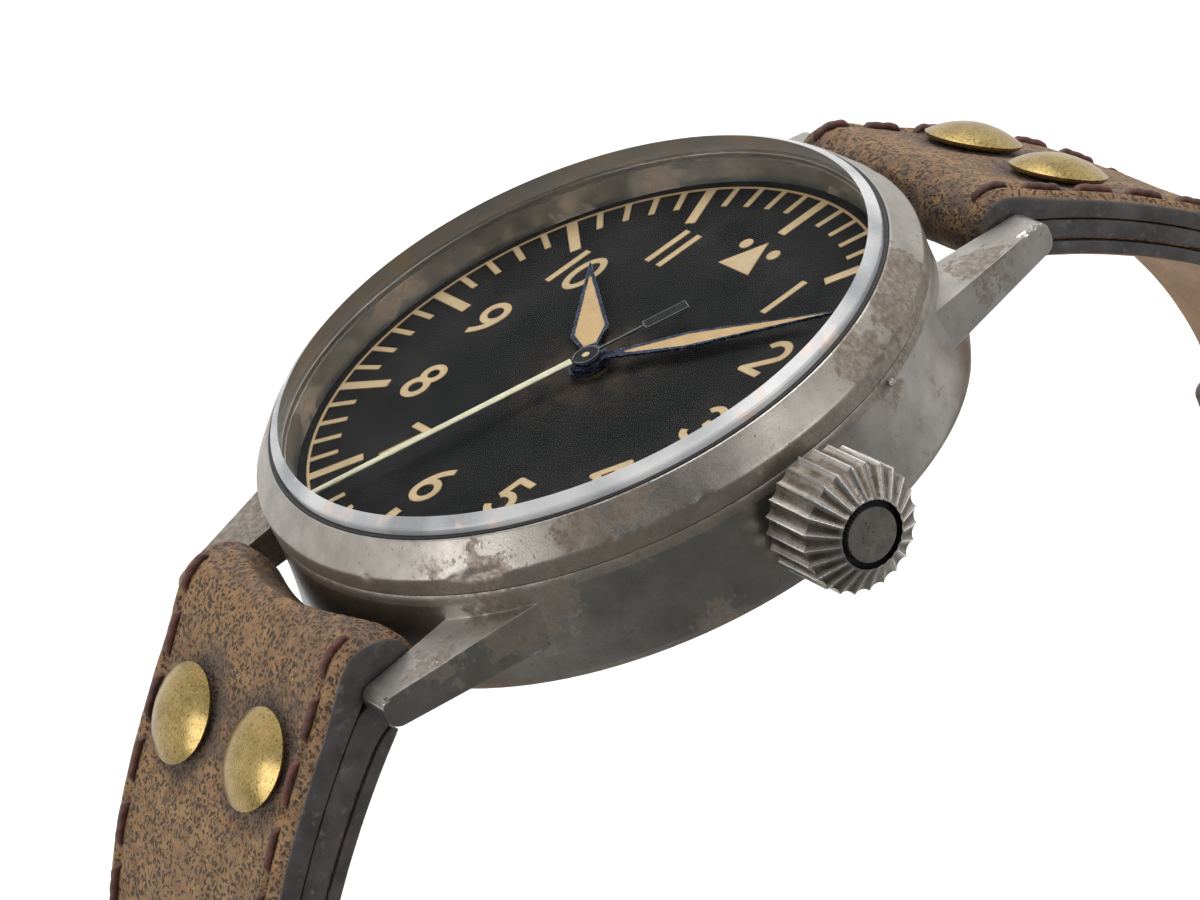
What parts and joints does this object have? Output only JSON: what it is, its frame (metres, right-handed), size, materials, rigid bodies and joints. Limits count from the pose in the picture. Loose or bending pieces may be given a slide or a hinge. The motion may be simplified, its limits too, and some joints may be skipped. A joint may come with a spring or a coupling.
{
  "type": "pilot wristwatch",
  "caption": "Round pilot wristwatch with long straight lugs, a fluted crown, a black dial with plain numerals and a riveted two-piece leather strap with a pin buckle.",
  "frame": {"origin": "centre of the outer face of the case back", "axes": "+Z out of the dial, +Y to 12 o'clock and the buckle half of the strap, +X to 3 o'clock and the crown"},
  "size_m": [0.0488, 0.0931, 0.0823],
  "materials": {
    "case_steel": "satin, worn",
    "polished_steel": "polished",
    "crystal": "clear",
    "seal": "matte",
    "dial_black": "matte",
    "print_cream": "matte",
    "lume_tan": "grainy",
    "blued_steel": "blued",
    "plate_nickel": "nickel plated",
    "gilt_brass": "gilt",
    "spring_steel": "satin",
    "ring_plastic": "matte",
    "leather_brown": "waxed, worn",
    "leather_core": "painted edge",
    "leather_tan": "smooth",
    "thread_brown": "waxed",
    "aged_brass": "brushed, aged"
  },
  "bodies": {
    "case": {"case_body": "case_steel", "bezel": "case_steel", "crystal": "crystal", "crystal_gasket": "seal", "rehaut_ring": "case_steel", "case_back": "case_steel", "back_gasket": "seal", "bar_tubes": "polished_steel", "crown_tube": "polished_steel", "movement_ring": "ring_plastic", "movement_clamps": "spring_steel", "movement_screws": "spring_steel", "main_plate": "plate_nickel", "train_bridge": "plate_nickel", "balance_cock": "plate_nickel", "barrel_arbor": "spring_steel", "hairspring": "spring_steel", "rotor_retainer": "spring_steel", "dial": "dial_black", "dial_print": "print_cream"},
    "upper_right_tip": {"upper_bar_tip_right": "spring_steel"},
    "upper_left_tip": {"upper_bar_tip_left": "spring_steel"},
    "lower_right_tip": {"lower_bar_tip_right": "spring_steel"},
    "lower_left_tip": {"lower_bar_tip_left": "spring_steel"},
    "crown_seal": {"crown_gasket": "seal"},
    "crown": {"crown": "case_steel", "winding_stem": "spring_steel"},
    "second_train": {"fourth_wheel": "gilt_brass", "second_hand": "blued_steel", "second_lume": "print_cream"},
    "minute_train": {"centre_wheel": "gilt_brass", "cannon_pinion": "spring_steel", "minute_hand": "blued_steel", "minute_lume": "lume_tan"},
    "hour_train": {"hour_wheel": "gilt_brass", "hour_hand": "blued_steel", "hour_lume": "lume_tan"},
    "motion_wheel": {"minute_wheel": "gilt_brass"},
    "third": {"third_wheel": "gilt_brass"},
    "escape": {"escape_wheel": "spring_steel"},
    "barrel": {"barrel": "gilt_brass", "mainspring": "spring_steel"},
    "fork": {"pallet_fork": "spring_steel"},
    "balance": {"balance_wheel": "gilt_brass"},
    "winding_rotor": {"rotor": "plate_nickel"},
    "short_strap": {"short_leather": "leather_brown", "short_filler": "leather_core", "short_lining": "leather_tan", "short_rivets": "aged_brass", "short_stitches": "thread_brown", "fixed_keeper": "leather_brown"},
    "long_strap": {"long_leather": "leather_brown", "long_filler": "leather_core", "long_lining": "leather_tan", "long_rivets": "aged_brass", "long_stitches": "thread_brown"},
    "loose_keeper": {"sliding_keeper": "leather_brown"},
    "buckle": {"buckle_frame": "case_steel", "buckle_bar": "polished_steel"},
    "tongue": {"buckle_tongue": "polished_steel"}
  },
  "joints": [
    {"name": "upper_right_tip_slide", "type": "slide", "parent": "case", "child": "upper_right_tip", "axis": [-1, 0, 0], "range_m": [0, 0.0012], "stiffness_N_per_m": 600, "springref_m": -0.0005},
    {"name": "lower_right_tip_slide", "type": "slide", "parent": "case", "child": "lower_right_tip", "axis": [-1, 0, 0], "range_m": [0, 0.0012], "stiffness_N_per_m": 600, "springref_m": -0.0005},
    {"name": "upper_left_tip_slide", "type": "slide", "parent": "case", "child": "upper_left_tip", "axis": [1, 0, 0], "range_m": [0, 0.0012], "stiffness_N_per_m": 600, "springref_m": -0.0005},
    {"name": "lower_left_tip_slide", "type": "slide", "parent": "case", "child": "lower_left_tip", "axis": [1, 0, 0], "range_m": [0, 0.0012], "stiffness_N_per_m": 600, "springref_m": -0.0005},
    {"name": "crown_pull", "type": "slide", "parent": "case", "child": "crown_seal", "axis": [1, 0, 0], "range_m": [0, 0.0012]},
    {"name": "crown_turn", "type": "hinge", "parent": "crown_seal", "child": "crown", "pos_m": [0.022, 0, 0.00513], "axis": [1, 0, 0], "continuous": true},
    {"name": "second_hand_turn", "type": "hinge", "parent": "case", "child": "second_train", "pos_m": [0, 0, 0.008], "axis": [0, 0, 1], "continuous": true},
    {"name": "minute_hand_turn", "type": "hinge", "parent": "case", "child": "minute_train", "pos_m": [0, 0, 0.008], "axis": [0, 0, 1], "continuous": true},
    {"name": "hour_hand_turn", "type": "hinge", "parent": "case", "child": "hour_train", "pos_m": [0, 0, 0.0076], "axis": [0, 0, 1], "continuous": true},
    {"name": "motion_wheel_turn", "type": "hinge", "parent": "case", "child": "motion_wheel", "pos_m": [-0.00282, -0.00103, 0.0061], "axis": [0, 0, 1], "continuous": true},
    {"name": "third_wheel_turn", "type": "hinge", "parent": "case", "child": "third", "pos_m": [0.00281, 0.00236, 0.004], "axis": [0, 0, 1], "continuous": true},
    {"name": "escape_wheel_turn", "type": "hinge", "parent": "case", "child": "escape", "pos_m": [0.00152, -0.00326, 0.004], "axis": [0, 0, 1], "continuous": true},
    {"name": "barrel_turn", "type": "hinge", "parent": "case", "child": "barrel", "pos_m": [-0.00504, 0, 0.004], "axis": [0, 0, 1], "continuous": true},
    {"name": "fork_rock", "type": "hinge", "parent": "case", "child": "fork", "pos_m": [0.00339, -0.00548, 0.004], "axis": [0, 0, 1], "range_deg": [-5, 5]},
    {"name": "balance_swing", "type": "hinge", "parent": "case", "child": "balance", "pos_m": [0.00648, -0.00649, 0.004], "axis": [0, 0, 1], "range_deg": [-270, 270]},
    {"name": "rotor_turn", "type": "hinge", "parent": "case", "child": "winding_rotor", "pos_m": [0, 0, 0.002], "axis": [0, 0, 1], "continuous": true},
    {"name": "short_strap_swing", "type": "hinge", "parent": "case", "child": "short_strap", "pos_m": [0, 0.0233, 0.00462], "axis": [1, 0, 0], "range_deg": [0, 30]},
    {"name": "long_strap_swing", "type": "hinge", "parent": "case", "child": "long_strap", "pos_m": [0, -0.0233, 0.00462], "axis": [-1, 0, 0], "range_deg": [0, 30]},
    {"name": "keeper_slide", "type": "slide", "parent": "short_strap", "child": "loose_keeper", "axis": [0, 0, -1], "range_m": [-0.004, 0.004]},
    {"name": "buckle_swing", "type": "hinge", "parent": "short_strap", "child": "buckle", "pos_m": [0, 0.03419, -0.05842], "axis": [1, 0, 0], "range_deg": [-45, 45]},
    {"name": "tongue_swing", "type": "hinge", "parent": "buckle", "child": "tongue", "pos_m": [0, 0.03419, -0.05842], "axis": [1, 0, 0], "range_deg": [0, 90]}
  ],
  "couplings": [
    {"joint": "minute_hand_turn", "follows": "second_hand_turn", "ratio": 0.016667},
    {"joint": "hour_hand_turn", "follows": "second_hand_turn", "ratio": 0.0013889},
    {"joint": "motion_wheel_turn", "follows": "second_hand_turn", "ratio": -0.0055556},
    {"joint": "third_wheel_turn", "follows": "second_hand_turn", "ratio": -0.13333},
    {"joint": "escape_wheel_turn", "follows": "second_hand_turn", "ratio": -9},
    {"joint": "barrel_turn", "follows": "second_hand_turn", "ratio": -0.0027778}
  ]
}
